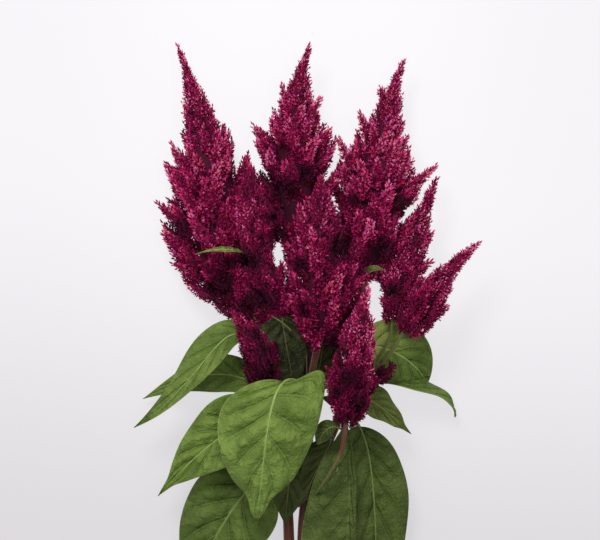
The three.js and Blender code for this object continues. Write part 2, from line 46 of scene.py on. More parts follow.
# Plumes, close to the model's: the axis from base to tip, how bright the florets are at either end, which is
# painted light and shade, darker where the base lies in shade and lighter towards the lit tip, the
# half-widths at even steps along the axis, the section's depth as a share of its width, and the side sprigs,
# each the share of the axis it leaves at, its tip and its size.
PLUMES = {
    "plume_left": dict(
        axis=[(-33, 20, 38), (-84, 85, 24), (-62, 150, 22), (-97, 238.5, 30)], painted_light=(0.85, 1.4),
        radii=[5, 14, 28, 36, 36, 30, 16, 6, 0], depth=0.74,
        sprigs=[(0.4, -102, 165, 34, 1), (0.38, -104, 141, 30, 1), (0.3, -112, 120, 34, 1.2),
                (0.22, -105, 97, 30, 1), (0.16, -101, 74, 34, 1), (0.5, -62, 178, 40, 1),
                (0.36, -44, 150, 40, 1.2), (0.3, -78, 138, 56, 1), (0.14, -76, 92, 58, 1)]),
    "plume_centre": dict(
        axis=[(1, 68, 34), (-4, 105, 34), (-18, 185, 36), (3, 238, 38)], painted_light=(0.72, 1.5),
        radii=[6, 21, 26, 28, 30, 27, 13, 5.5, 0], depth=0.86,
        sprigs=[(0.6, -18, 208, 40, 1), (0.42, -40, 178, 38, 1.3), (0.35, -38, 166, 46, 1),
                (0.6, 10.5, 198, 44, 1), (0.45, 18, 176, 44, 1), (0.3, 22, 168, 36, 1),
                (0.3, -12, 150, 64, 1), (0.12, -25, 104, 30, 1.2), (0.2, -25, 138, 32, 1.2)]),
    "plume_right": dict(
        axis=[(44, 62, 32), (54, 103, 22), (54, 182, 21), (74, 227, 30)], painted_light=(1.02, 1.55),
        radii=[6, 22, 30, 34, 31, 21, 11, 4.5, 0], depth=0.8,
        sprigs=[(0.75, 56, 207, 32, 0.8), (0.55, 40, 188, 36, 1), (0.35, 24.5, 168, 36, 1.2),
                (0.6, 70, 186, 30, 1), (0.48, 76, 168, 32, 1), (0.4, 81, 152, 30, 1),
                (0.3, 54, 152, 54, 1), (0.04, 56, 64, 34, 1.3), (0.2, 27, 138, 28, 1.1),
                (0.46, 44, 174, 28, 1.1), (0.34, 98, 148, 33, 0.9)]),
    "plume_mid_left": dict(
        axis=[(-17, 38, 50), (-30, 62, 60), (-42, 105, 62), (-44, 157, 50)], painted_light=(0.85, 1.1),
        radii=[8, 18, 18, 14, 12, 12, 10, 6, 0], depth=1,
        sprigs=[(0.04, -6, 56, 60, 1.2), (0.2, -17, 74, 68, 1), (0.15, -46, 70, 66, 1),
                (0.4, -30, 110, 72, 1), (0.1, -29, 40, 62, 1.4), (0.04, -34, 30, 46, 1),
                (0.04, -11, 31, 44, 1.2)]),
    "plume_front": dict(
        axis=[(9, 18, 50), (16, 46, 62), (10, 95, 72), (12, 139.5, 60)], painted_light=(1.02, 1.08),
        radii=[10, 21, 27, 27, 24, 19, 14, 8, 0], depth=0.85,
        sprigs=[(0.25, 46, 98, 60, 2), (0.12, 46, 66, 62, 1.8), (0.05, -14, 46, 60, 1.4),
                (0.1, -12, 68, 62, 1.4), (0.25, 12, 92, 90, 1.4), (0.2, 28, 74, 84, 1.4),
                (0.4, -6, 118, 72, 1.4)]),
    "plume_right_side": dict(
        axis=[(66, 34, 38), (72, 66, 38), (82, 100, 38), (98.5, 138, 35)], painted_light=(0.95, 1.35),
        radii=[6, 12, 13, 13, 11.5, 9.5, 6.5, 3.5, 0], depth=1,
        sprigs=[(0.4, 95, 98, 38, 1), (0.25, 94, 76, 40, 1), (0.02, 57, 48, 38, 1), (0.1, 58, 68, 40, 1.2)]),
    "plume_low_right": dict(
        axis=[(77, 25, 53), (86, 42, 60), (100, 66, 60), (129.8, 89.5, 52)], painted_light=(0.85, 1.5),
        radii=[5, 11, 15, 14, 11, 8.5, 6, 3.5, 0], depth=1,
        sprigs=[(0.05, 106, 42, 58, 1.2), (0.2, 109, 60, 58, 1), (0.1, 90, 58, 76, 1)]),
    "plume_low_front": dict(
        axis=[(31, -42, 68), (33, -14, 82), (38, 20, 92), (46, 56, 84)], painted_light=(0.4, 1.8),
        radii=[6, 12, 17, 17, 13, 12, 10, 6, 0], depth=0.95,
        sprigs=[(0.3, 50, 16, 84, 1), (0.15, 16, -4, 84, 1), (0.12, 53, -12, 78, 1), (0.2, 34, -4, 104, 1)]),
    "plume_low_left": dict(
        axis=[(-31, -17, 54), (-33, 1.5, 62), (-40, 20, 65), (-55, 38, 60)], painted_light=(0.12, 1.15),
        radii=[5, 11, 13, 13, 12, 10, 7, 4, 0], depth=0.95,
        sprigs=[(0.1, -22, 14, 66, 1), (0.1, -49, 12, 64, 1)]),
    "plume_bud": dict(
        axis=[(54.5, -12.8, 45.5), (58, -10, 47), (62, -6, 48), (66, -1.5, 48)],
        painted_light=(0.3, 0.5), radii=[2, 5, 5.5, 4, 0], depth=1, sprigs=[]),
}

# Hollows among the sprigs, seen from above: centre and half-width. The sprigs sink in there, and their
# florets and cores are darkened with painted shade.
HOLLOWS = [
    (-16, 129, 12), (-28, 139, 7), (-1, 142, 7), (-12, 115, 7), (-20, 95, 8), (-28, 107, 5), (-16, 159, 5),
    (-42, 75, 10), (-63, 58, 12), (-42, 44, 9), (-94, 99, 8), (25, 85, 11), (56, 84, 11), (-3, 73, 6),
    (36, 121, 5), (70, 118, 7), (-1, 38, 6), (65, 54, 6), (18, 17, 6), (26, 8, 5), (31, -10, 7),
    (38, -28, 7), (23, -22, 5), (-33, 9, 5), (-28, -8, 7), (-57, 73, 6), (-105, 160, 5), (-38, 21, 5),
    (-30, 45, 8),
]
HOLLOW_DEPTH = 1.35  # cut off at 1, so a hollow's middle is evenly deep and evenly dark with painted shade
HOLLOW_FALL = 1.4
# Places with no sprigs at all, where one looks through between the plumes: centre and half-widths.
OPENINGS = [
    (-21, 82, 4.5, 8.5), (-16, 70, 2.5, 4), (51.5, 49, 7, 14), (19, 148, 3, 10), (-36, 147, 3, 5),
    (71, 106, 2, 6), (77, 114, 2, 4), (88.5, 127, 2.5, 6),
]

# The sprigs that cover a plume
TWIG_PITCH = 13.4  # their spacing where the plume is widest
TWIG_LENGTH = 32
TWIG_RADIUS = 5.2
TWIG_START = 0.3  # share of a sprig that has no florets, down in the plume
TWIG_CORE = 0.72  # half-width of a sprig's dark core, as a share of the sprig's
TWIG_SIDES = 5
TWIG_JITTER = 0.5
TWIG_PACKING = 0.866  # skin for each sprig, as a share of the squared spacing
AXIS_STEPS = 400  # steps along a plume's axis for spreading its sprigs
TWIG_SIZES = (0.75, 1.15)
TWIG_LEAN = 0.24  # how far a sprig leans out from a slim plume
LEAN_WIDTH = 55  # a plume of this half-width would add 1 to that
LEAN_RANGE = (0.3, 0.78)
TWIG_SCATTER = 0.12
TWIG_BOW = 0.12  # how far a sprig bows outwards, as a share of its length,
BOW_BACK = 0.2  # and back towards the plume's base, as a share of that
TWIG_ONWARD = 2  # how far a sprig's tip is moved on at the plume's base
TWIG_REACH = 1.02  # of the plume's half-width
SWELL_REACH = 0.2
SWELL_MOST = 0.15
REACH_SCATTER = 0.1
TWIG_SHADES = (0.8, 1.1)
SWELL_PAINTED_LIGHT = (0.92, 0.28)  # painted light and shade: middle brightness, and what a swell adds, so swells look lit and dips shaded
CLEAR_PLACES = (0.35, 0.6, 0.8, 1.0)  # where along a sprig it is tested for an opening
SMALLEST_TWIG = 0.36
LARGEST_TWIG = 1.05
FULL_WIDTH = 26  # half-width at which a plume's sprigs have their full size
LUMP_SIZE = 9  # the swells and hollows of a plume are about three times this across
PUSH_IN = 0.5  # how far a sprig sinks in a dark hollow, as a share of the plume's half-width
BARE_HOLLOW = 0.85  # a sprig is left out where a hollow is this dark,
BARE_FACING = 0.55  # where the skin faces up by this much,
BARE_WIDTH = 18  # and where the plume's half-width is at least this
SIDE_PAINTED_SHADE = (0.78, 0.22)  # painted shade: brightness of a sprig at the plume's side, and what facing up to the light adds
TIP_START = 0.82  # share of the axis from which a plume darkens towards its tip
TIP_SHADE = 0.3  # by how much it does

# The side sprigs, and the one at each tip
SPRIG_RADII = [3, 4.5, 5, 3.6, 0]
SPRIG_GIRTH = 1.15
# painted light and shade along each side sprig, from its root to its tip
SPRIG_PAINTED_LIGHT = (0.85, 1.05)
SIDE_PITCH = 1.7 * TWIG_PITCH
SIDE_LENGTH = 0.7 * TWIG_LENGTH
SIDE_RADIUS = 0.8 * TWIG_RADIUS
SIDE_BENDS = (0.4, 0.75)  # places of the two points that bend a side sprig, as shares of its length
SIDE_LAG = 0.06  # how far the second of them lies behind the straight line, as such a share
SIDE_LEADER_START = 0.3
LEADER_START = 0.72  # share of a plume's axis where the sprig at its tip starts
# the sprig at a plume's tip takes this share of the plume's painted light at its tip
LEADER_SHADE = 0.7

# Florets
FLORET_PITCH = 2.2  # spacing of the florets over a sprig
FLORET_SLANT = np.array([0.37, 0.21, 0.9])  # angles round a sprig are counted from this direction,
FLORET_SIZES = (0.75, 1.2)
FLORET_DEPTHS = (0.55, 0.95)  # how far out florets sit, as a share of the sprig's half-width
FLORETS_LEAST = 6
MEAN_GIRTH = 0.6  # a sprig's mean half-width, as a share of its largest
SHADED_ROOT_TINT = 0.33  # brightness at the root of a sprig, kept low as painted shade deep in the plume
ALONG_TINT = 0.47  # what it gains towards the tip, out of that painted shade,
TIP_TINT = 0.2  # what it loses again at the very tip,
PAINTED_LIT_TINT = 0.18  # and the painted light it gains where it looks out of the plume
TINT_SCATTER = 0.08
TINT_LUMPS = 3.0  # the small patches of tint are about three times this across
TEPALS = 3
TEPAL_LENGTH = 3.1
TEPAL_WIDTH = 0.42  # of its length
TEPAL_SIZES = (0.8, 1.2)
TEPAL_BELLY = 0.42  # share of its length where it is widest
TEPAL_CURL = (0.12, 0.08)  # how far it is bent inwards there and at its tip, as a share of its length
OPEN_ANGLE = 50  # how far the tepals open at a sprig's root, in degrees
CLOSING_ANGLE = 38  # how much less they do at its tip
TEPAL_SLANT = np.array([0.31, 0.17, 0.93])  # and those round a floret from this one
TINT_RANGE = (0.06, 0.95)
TEPAL_TINTS = np.array([0.6, 1.0, 1.12, 1.0])  # at a tepal's base, one side, tip and other side; the darker base is painted shade among the tepals
PALE_TEPALS = 0.12  # share of the tepals that are paler,
PALER = 0.3  # and by how much
HOLLOW_PAINTED_SHADE = 0.8  # painted shade: how much darker florets are in a hollow
CORE_HOLLOW_PAINTED_SHADE = 0.7  # painted shade: how much darker the cores are there
# The cores are dark with painted shade: they fill the gaps between the florets and the inside of a plume,
# where shade falls.
TWIG_CORE_PAINTED_SHADE = 0.27
PLUME_CORE_PAINTED_SHADE = 0.1
CORE_SHARE = 0.5  # the dark core's half-width, as a share of the plume's
CORE_END = 0.86
CORE_SIDES = 24
CORE_RINGS = 40
PRESSED = 2.0  # what would lie lower than this is pressed towards the surface
FLORET_SEED = 100

# Leaves, close to the model's: the midrib from stem to tip, the blade's half-width, where along the blade
# that lies, the petiole's share of the midrib, the way the upper face looks at base and tip, the fold of the
# margins in degrees, the height and number of their waves, and the painted light and shade, from 0 for a leaf
# in deep shade to 1 for a lit one.
# Some have more: lobes, how far the base reaches back on either side; drip, how much narrower the tip is;
# quilt, how strong the swells between the veins are; midline, where across the blade the midrib runs; veins,
# how clearly the veins show; pale_base and streak, how much paler base and middle are; dry, how dry it is.
LEAVES = {
    "leaf_front": dict(
        midrib=[(4, -21, 34), (-29, 10.5, 100), (-27.5, -50.5, 90), (-37, -118.5, 58)], half=38.5,
        belly=0.46, petiole=0.28, face=[(-0.15, 0.1, 1), (0.1, -0.1, 1)], fold=-14, waves=(2.2, 3), painted_light_and_pallor=1,
        lobes=(92, -9), drip=0.36, quilt=1.6),
    "leaf_upper_left": dict(
        midrib=[(-24, -8, 36), (-62, 61, 50), (-63, -8, 64), (-130, -50, 34)], half=16, belly=0.4,
        petiole=0.2, face=[(-0.5, 0.6, 1), (-0.5, 0.5, 1)], fold=16, waves=(1, 2), painted_light_and_pallor=0.85),
    "leaf_left": dict(
        midrib=[(-20, -28, 32), (-56, -3, 30), (-73, -4, 22), (-124, -29, 8)], half=16, belly=0.36,
        petiole=0.13, face=[(0, 0.5, 1), (0, 0.4, 1)], fold=10, waves=(1, 2), painted_light_and_pallor=0.85),
    "leaf_lower_left": dict(
        midrib=[(-18, -42, 32), (-42, -36, 54), (-76, -60, 50), (-112, -102, 26)], half=26, belly=0.3,
        petiole=0.19, face=[(0.1, 0.3, 1), (-0.2, 0.1, 1)], fold=8, waves=(1.5, 3), painted_light_and_pallor=1, drip=0.25,
        quilt=1.3),
    "leaf_bottom_left": dict(
        midrib=[(-16, -72, 28), (-40, -88, 30), (-66, -118, 20), (-90, -180, 6)], half=35, belly=0.45,
        petiole=0.14, face=[(0.1, 0.2, 1), (-0.1, 0.1, 1)], fold=6, waves=(2, 3), painted_light_and_pallor=0.62, quilt=1.5),
    "leaf_under_front": dict(
        midrib=[(18, -57, 31), (22, -57, 50), (7, -83, 50), (-6, -110, 34)], half=14, belly=0.4,
        petiole=0.14, face=[(0.2, 0.3, 1), (0.2, 0, 1)], fold=-12, waves=(1.5, 2), painted_light_and_pallor=0.15),
    "leaf_under_left": dict(
        midrib=[(-14, -70, 27), (-11, -66, 42), (-12, -88, 44), (-16, -122, 30)], half=16, belly=0.45,
        petiole=0.2, face=[(0, 0.1, 1), (0, 0, 1)], fold=6, waves=(1, 2), painted_light_and_pallor=0.2),
    "leaf_bottom_centre": dict(
        midrib=[(31, -26, 34), (39, -34, 58), (7, -107, 56), (17, -204, 22)], half=20.5, belly=0.64,
        petiole=0.26, face=[(-0.2, 0.2, 1), (-0.1, 0, 1)], fold=-8, waves=(2, 3), painted_light_and_pallor=0.38, veins=0.5,
        midline=-0.72, quilt=1.0),
    "leaf_bottom_right": dict(
        midrib=[(26, -40, 33), (52, -38, 40), (53, -104, 28), (54, -200, 7)], half=26, belly=0.49,
        petiole=0.23, face=[(0.3, 0.2, 1), (0.2, 0, 1)], fold=8, waves=(1.5, 3), painted_light_and_pallor=0.42, veins=0.4,
        lobes=(0, 34)),
    "leaf_right_low": dict(
        midrib=[(29, -32, 33), (41, -17, 44), (57, -34, 40), (79.5, -55, 26)], half=13.5, belly=0.36,
        petiole=0.15, face=[(0.1, 0.6, 1), (0.3, 0.5, 1)], fold=10, waves=(1.2, 3), painted_light_and_pallor=0.8, dry=0.25,
        drip=0.3, quilt=1.6),
    "leaf_right_upper": dict(
        midrib=[(35, -2, 33), (38, 23, 28), (79, 9, 30), (92, -17, 14)], half=24.5, belly=0.5, petiole=0.19,
        face=[(0, 0.2, 1), (0.3, 0.1, 1)], fold=8, waves=(1.5, 2), painted_light_and_pallor=0.78, quilt=1.3, pale_base=0.9),
    "leaf_right": dict(
        midrib=[(32, -17, 33), (77, -10, 27), (116, -27, 24), (113, -43, 8)], half=11, belly=0.42,
        petiole=0.16, face=[(0.1, 1, 0.45), (0.5, 0.8, 0.4)], fold=14, waves=(1, 2), painted_light_and_pallor=0.8, drip=0.6),
    "leaf_middle": dict(
        midrib=[(-17, 14, 41), (-17, 44, 50), (-22, 47, 78), (-8, -22, 52)], half=17.5, belly=0.6,
        petiole=0.3, face=[(0, 0.8, -1), (0, 0.6, 1)], fold=-10, waves=(0.8, 2), painted_light_and_pallor=0.0, veins=0.2),
    "leaf_middle_back": dict(
        midrib=[(4, -26, 32), (8, -16, 30), (12, 0, 24), (15, 32, 24)], half=17, belly=0.5, petiole=0.1,
        face=[(-0.2, -0.1, 1), (0.1, 0, 1)], fold=-8, waves=(0.6, 2), painted_light_and_pallor=0.12, veins=0.3, dry=0.15),
    "leaf_back_left": dict(
        midrib=[(-17, -54, 29), (-34, -58, 14), (-52, -70, 4), (-70, -90, 3)], half=14, belly=0.4,
        petiole=0.16, face=[(0.1, 0.2, 1), (0, 0.05, 1)], fold=4, waves=(0.6, 2), painted_light_and_pallor=0.4),
    "leaf_back_right": dict(
        midrib=[(17, -60, 29), (32, -62, 10), (44, -84, 3.5), (56, -116, 3)], half=14, belly=0.4,
        petiole=0.16, face=[(0, 0.1, 1), (0, 0, 1)], fold=3, waves=(0.6, 2), painted_light_and_pallor=0.4),
    "leaf_back_upper": dict(
        midrib=[(3, 0, 31), (12, 18, 8), (24, 44, 2.5), (30, 74, 2.5)], half=12, belly=0.4, petiole=0.16,
        face=[(-0.1, 0.1, 1), (0, 0, 1)], fold=2, waves=(0.4, 2), painted_light_and_pallor=0.4),
    "leaflet_left": dict(
        midrib=[(-44, 82, 40), (-52, 83, 64), (-66, 87, 70), (-82.5, 80.5, 66)], half=2.7, belly=0.3,
        petiole=0.1, face=[(0, 0.8, 1), (0, 0.8, 1)], fold=18, waves=(0.3, 2), painted_light_and_pallor=0.95, streak=1.0),
    "leaflet_right": dict(
        midrib=[(43, 60, 31), (43, 68, 46), (50, 73, 50), (59.5, 68.5, 44)], half=3.2, belly=0.4,
        petiole=0.1, face=[(0, 0.6, 1), (0.2, 0.6, 1)], fold=14, waves=(0.3, 2), painted_light_and_pallor=0.8, dry=0.75),
    "leaflet_low": dict(
        midrib=[(27, -50, 65), (19, -44, 71), (12, -50, 69), (8.5, -62, 60)], half=7.5, belly=0.5,
        petiole=0.15, face=[(-0.1, 0.2, 1), (-0.2, -0.2, 1)], fold=-10, waves=(0.8, 3), painted_light_and_pallor=0.3),
    "leaflet_stem": dict(
        midrib=[(27, -36, 33), (24, -32, 44), (18, -28, 48), (11, -26, 46)], half=3.6, belly=0.4,
        petiole=0.2, face=[(0, 0.3, 1), (0, 0.3, 1)], fold=12, waves=(0.3, 2), painted_light_and_pallor=0.6),
}
BIG_LEAF = 8  # half-width above which a blade has the fine grid
BIG_GRID = (72, 31)  # steps along and across a blade
SMALL_GRID = (28, 13)
BLADE_ENDS = (0.004, 0.997)
BLADE_POINT = 1.8
BLADE_THICKNESS = 0.5
BLADE_LOWEST = 0.3
DRIP_PLACE = 0.9  # where along the blade the drip tip is narrowest
DRIP_LENGTH = 0.06
LOBE_SPREAD = 2.3
LOBE_CURVE = 1.1
LOBE_ROUNDING = 0.22
PETIOLE_RADIUS = 1.3
RIB_END = 0.93  # share of the blade that the raised midrib runs along
RIB_DEPTH = 0.55  # how far its middle lies under the blade's, as a share of its half-width
RIB_STEPS = 44
RIB_SIDES = 8
VEIN_PAIRS = 6
VEIN_REACH = 0.3  # how far along the blade a side vein runs before it meets the margin
VEIN_CURVE = 0.8
QUILT = 0.034  # height of the blade's swells between side veins, as a share of its half-width
GROOVE = 0.03  # depth of the groove over the midrib, as a share of the blade's half-width
GROOVE_WIDTH = 0.06

# The branching stem, close to the model's: each branch's radius at either end, how green it is there, and its
# points. The last two branches are thin bracts.
BRANCHES = [
    dict(radius=(5, 4.7), green=(0.0, 0.0), points=[
        (-6, -238.5, 4.3), (-6.5, -208, 6.6), (-6.8, -178, 11)]),
    dict(radius=(4.2, 3), green=(0.0, 0.7), points=[
        (-6.8, -180, 11), (-12, -148, 15), (-13.5, -118, 20), (-15.8, -81, 26), (-18, -43, 32),
        (-24, -6, 36), (-33, 22, 37), (-40, 36, 36)]),
    dict(radius=(4.4, 2.8), green=(-0.1, 0.4), points=[
        (-6.8, -180, 11), (-3, -148, 15), (-1.5, -118, 20), (1.5, -96, 24), (12, -70, 29), (24, -43, 33),
        (33, -6, 34), (42, 46, 33), (45, 76, 30)]),
    dict(radius=(3.4, 2.6), green=(0.1, 0.3), points=[
        (-1, -108, 22), (1.5, -73, 27), (3, -36, 31), (3, 2, 33), (1.5, 46, 34), (0, 86, 35)]),
    dict(radius=(2.6, 2.4), green=(0.2, 0.35), points=[
        (3, -28, 31), (4, -12, 38), (7, 4, 48), (11, 22, 55)]),
    dict(radius=(0.8, 1.8), green=(1.1, 0.1), points=[
        (0, -109, 22), (9, -96, 50), (18, -82, 66), (26, -66, 71), (30, -43, 72)]),
    dict(radius=(2.3, 2.1), green=(0.6, 0.5), points=[
        (-18, -46, 32), (-22, -32, 42), (-28, -22, 51), (-31, -8, 56)]),
    dict(radius=(2.3, 2.1), green=(0.6, 0.7), points=[
        (-20, -26, 34), (-17, 6, 38), (-16, 28, 46), (-20, 50, 54)]),
    dict(radius=(1.3, 1.1), green=(1.1, 0.8), points=[
        (32, -12, 34), (45, -6, 36), (54.8, 3.8, 37), (63, 19, 38), (66, 40, 38)]),
    dict(radius=(1.4, 1.2), green=(1.1, 0.7), points=[
        (30, -20, 34), (43.5, -12, 41), (56, -2.5, 47), (66, 11, 53), (75.5, 28, 57)]),
    dict(radius=(1, 1), green=(0.8, 0.6), points=[(48, -9, 43.5), (53, -13.5, 44.5), (57, -12.5, 46)]),
    dict(radius=(0.4, 0.25), green=(1.5, 1.5), points=[
        (29, -42, 71), (29.6, -45.8, 73), (34, -48, 73), (37.3, -46.7, 72)]),
    dict(radius=(0.3, 0.75), green=(1.8, 1.8), points=[(-26, 35, 69), (-18.5, 30.5, 71), (-11, 24, 68)]),
]
STEM_SIDES = 24
STEM_RIBS = 8
STEM_RIB_HEIGHT = 0.035  # as a share of the radius
STEM_STEPS = 14  # between one point and the next
STEM_LOWEST = 0.05

# View and light. Lights and the floor are in metres.
PICTURE_WIDTH = 600
PIXEL = 0.75  # size of a pixel of the picture at the plumes' height
PICTURE_CENTRE = (-4.5, 69)
PLUME_HEIGHT = 45
CAMERA_HEIGHT = 3000
FILM_WIDTH = 36
CLIP_END = 20
FLOOR_SIZE = 3.0
KEY_PLACE = (-0.3, 0.8, 1.25)
KEY_POWER = 14
FILL_PLACE = (0.3, 0.1, 1.8)
FILL_POWER = 4
LIGHT_SIZE = 0.5
LIGHT_TARGET = (0, 0.06, 0.04)
SKY_COLOUR = (0.93, 0.92, 0.96, 1)
SKY_STRENGTH = 0.5


# Curves and meshes

def unit(v):
    return v / np.maximum(np.linalg.norm(v, axis=-1, keepdims=True), 1e-9)


def bezier(points, t):
    """The place at the share t of the way along a curve of four points, and its direction there."""
    a, b, c, d = (np.array(p, float) for p in points)
    t = np.asarray(t, float)[..., None]
    place = a * (1 - t) ** 3 + 3 * b * t * (1 - t) ** 2 + 3 * c * t * t * (1 - t) + d * t ** 3
    return place, unit((b - a) * (1 - t) ** 2 + 2 * (c - b) * t * (1 - t) + (d - c) * t * t)


def catmull(points, t, mirror_ends):
    """A smooth curve through points at even steps of t from 0 to 1."""
    p = np.array(points, float).reshape(len(points), -1)
    first, last = (2 * p[0] - p[1], 2 * p[-1] - p[-2]) if mirror_ends else (p[0], p[-1])
    q = np.vstack([first, p, last])
    x = np.clip(np.asarray(t, float), 0, 1) * (len(p) - 1)
    k = np.minimum(x.astype(int), len(p) - 2)
    w = (x - k)[..., None]
    p0, p1, p2, p3 = q[k], q[k + 1], q[k + 2], q[k + 3]
    v1, v2 = (p2 - p0) / 2, (p3 - p1) / 2
    return (2 * p1 - 2 * p2 + v1 + v2) * w ** 3 + (-3 * p1 + 3 * p2 - 2 * v1 - v2) * w ** 2 + v1 * w + p1


def cross_frame(tangent, hint):
    """Two directions square to a tangent and to each other, the second near the hint."""
    side = unit(np.cross(tangent, hint))
    return side, np.cross(side, tangent)


def turned(first, second, angle):
    """The direction at an angle from the first towards the second."""
    return first * np.cos(angle)[..., None] + second * np.sin(angle)[..., None]


def in_scene(name, data):
    """A new object in the scene, from a mesh, a light or a camera."""
    obj = bpy.data.objects.new(name, data)
    bpy.context.scene.collection.objects.link(obj)
    return obj


def make_piece(name, vertices, triangles, numbers, materials, material_index=None, uv=None, smooth=False):
    """An object from arrays: vertices in millimetres, triangles, and numbers and a UV pair per vertex."""
    mesh = bpy.data.meshes.new(name)
    mesh.vertices.add(len(vertices))
    mesh.vertices.foreach_set("co", (np.asarray(vertices) * MM).astype(np.float32).ravel())
    mesh.loops.add(3 * len(triangles))
    mesh.loops.foreach_set("vertex_index", np.asarray(triangles, np.int32).ravel())
    mesh.polygons.add(len(triangles))
    mesh.polygons.foreach_set("loop_start", 3 * np.arange(len(triangles), dtype=np.int32))
    for key, values in numbers.items():
        layer = mesh.attributes.new(key, "FLOAT", "POINT")
        layer.data.foreach_set("value", np.asarray(values, np.float32))
    if uv is not None:
        layer = mesh.uv_layers.new(name="leaf_map")
        layer.data.foreach_set("uv", np.asarray(uv, np.float32)[np.asarray(triangles).ravel()].ravel())
    for material in materials:
        mesh.materials.append(material)
    if material_index is not None:
        mesh.polygons.foreach_set("material_index", np.asarray(material_index, np.int32))
    mesh.polygons.foreach_set("use_smooth", np.full(len(triangles), smooth))
    mesh.update(calc_edges=True)
    return in_scene(name, mesh)


def tube(centres, tangents, radii, sides, ribs=0, rib_height=0.0):
    """A closed round tube: its vertices, its triangles, and each vertex's share of the way along."""
    side, up = cross_frame(tangents, UP)
    angle = np.arange(sides) * 2 * math.pi / sides
    ridge = 1 + rib_height * np.cos(ribs * angle)
    spread = turned(side[:, None], up[:, None], angle)
    rings = centres[:, None] + spread * (radii[:, None] * ridge[None, :])[..., None]
    count = len(centres)
    vertices = np.vstack([rings.reshape(-1, 3), centres[:1], centres[-1:]])
    grid = np.arange(count * sides).reshape(count, sides)
    after = np.roll(grid, -1, axis=1)
    a, b, c, d = grid[:-1], after[:-1], after[1:], grid[1:]
    first, last = count * sides, count * sides + 1
    triangles = np.vstack([
        np.stack([a, c, b], -1).reshape(-1, 3),
        np.stack([a, d, c], -1).reshape(-1, 3),
        np.stack([np.full(sides, first), grid[0], after[0]], 1),
        np.stack([np.full(sides, last), after[-1], grid[-1]], 1)])
    along = np.concatenate([np.repeat(np.linspace(0, 1, count), sides), [0, 1]])
    return vertices, triangles, along


# Materials

class Nodes:
    """A short way to write a material's node tree."""

    def __init__(self, name):
        self.material = bpy.data.materials.new(name)
        self.material.use_nodes = True
        self.tree = self.material.node_tree
        self.shader = self.tree.nodes["Principled BSDF"]

    def add(self, kind, inputs=None, **settings):
        """A new node. Its inputs, by name or number, take a value or a socket each."""
        node = self.tree.nodes.new(kind)
        for key, value in settings.items():
            setattr(node, key, value)
        for key, value in (inputs or {}).items():
            self.put(node.inputs[key], value)
        return node

    def put(self, socket, value):
        if isinstance(value, bpy.types.NodeSocket):
            self.tree.links.new(value, socket)
        else:
            socket.default_value = value

    def set(self, name, value):
        """Gives the shader itself a value, or a socket to take it from."""
        self.put(self.shader.inputs[name], value)

    def attribute(self, name):
        return self.add("ShaderNodeAttribute", attribute_name=name).outputs["Fac"]

    def math(self, operation, a, b=0.0):
        return self.add("ShaderNodeMath", {0: a, 1: b}, operation=operation).outputs[0]

    def times(self, a, b):
        return self.math("MULTIPLY", a, b)

    def plus(self, a, b):
        return self.math("ADD", a, b)

    def minus(self, a, b):
        return self.math("SUBTRACT", a, b)

    def between(self, value, low, high, to_low=0.0, to_high=1.0, kind="SMOOTHSTEP"):
        """Goes from to_low to to_high while the value goes from low to high."""
        inputs = dict(enumerate((value, low, high, to_low, to_high)))
        return self.add("ShaderNodeMapRange", inputs, interpolation_type=kind).outputs[0]

    def noise(self, scale, detail=3.0, roughness=0.5, vector=None):
        inputs = {"Scale": scale, "Detail": detail, "Roughness": roughness}
        inputs["Vector"] = vector or self.coordinates()
        return self.add("ShaderNodeTexNoise", inputs).outputs["Fac"]

    def coordinates(self):
        return self.add("ShaderNodeTexCoord").outputs["Object"]

    def ramp(self, factor, stops):
        node = self.add("ShaderNodeValToRGB", {"Fac": factor})
        while len(node.color_ramp.elements) < len(stops):
            node.color_ramp.elements.new(0.5)
        for element, (place, colour) in zip(node.color_ramp.elements, stops):
            element.position = place
            element.color = (*colour, 1)
        return node.outputs["Color"]

    def mix(self, factor, a, b, blend="MIX"):
        """Mixes two colours, each a socket or three numbers. Sockets 6 and 7 of the node take them."""
        a, b = ((*v, 1) if isinstance(v, tuple) else v for v in (a, b))
        inputs = {"Factor": factor, 6: a, 7: b}
        return self.add("ShaderNodeMix", inputs, data_type="RGBA", blend_type=blend).outputs[2]

    def bump(self, height, distance, strength=1.0):
        inputs = {"Distance": distance * MM, "Strength": strength, "Height": height}
        self.set("Normal", self.add("ShaderNodeBump", inputs).outputs["Normal"])


def floret_material():
    """The florets' crimson, from nearly black where the tint carries painted shade, as in the hollows, to
    pink at the tips.
    """
    n = Nodes("floret")
    tint = n.attribute("tint")
    colour = n.ramp(tint, [
        (0, (0.024, 0.004, 0.011)), (0.3, (0.13, 0.005, 0.034)), (0.6, (0.48, 0.011, 0.112)),
        (0.82, (0.75, 0.055, 0.24)), (1, (0.88, 0.30, 0.47))])
    redder = n.mix(n.attribute("vary"), (1, 0.9, 0.72), (0.92, 1, 1.25))
    n.set("Base Color", n.mix(1.0, colour, redder, "MULTIPLY"))
    n.set("Roughness", n.between(tint, 0, 1, 0.75, 0.5, "LINEAR"))
    n.set("Specular IOR Level", 0.1)
    return n.material


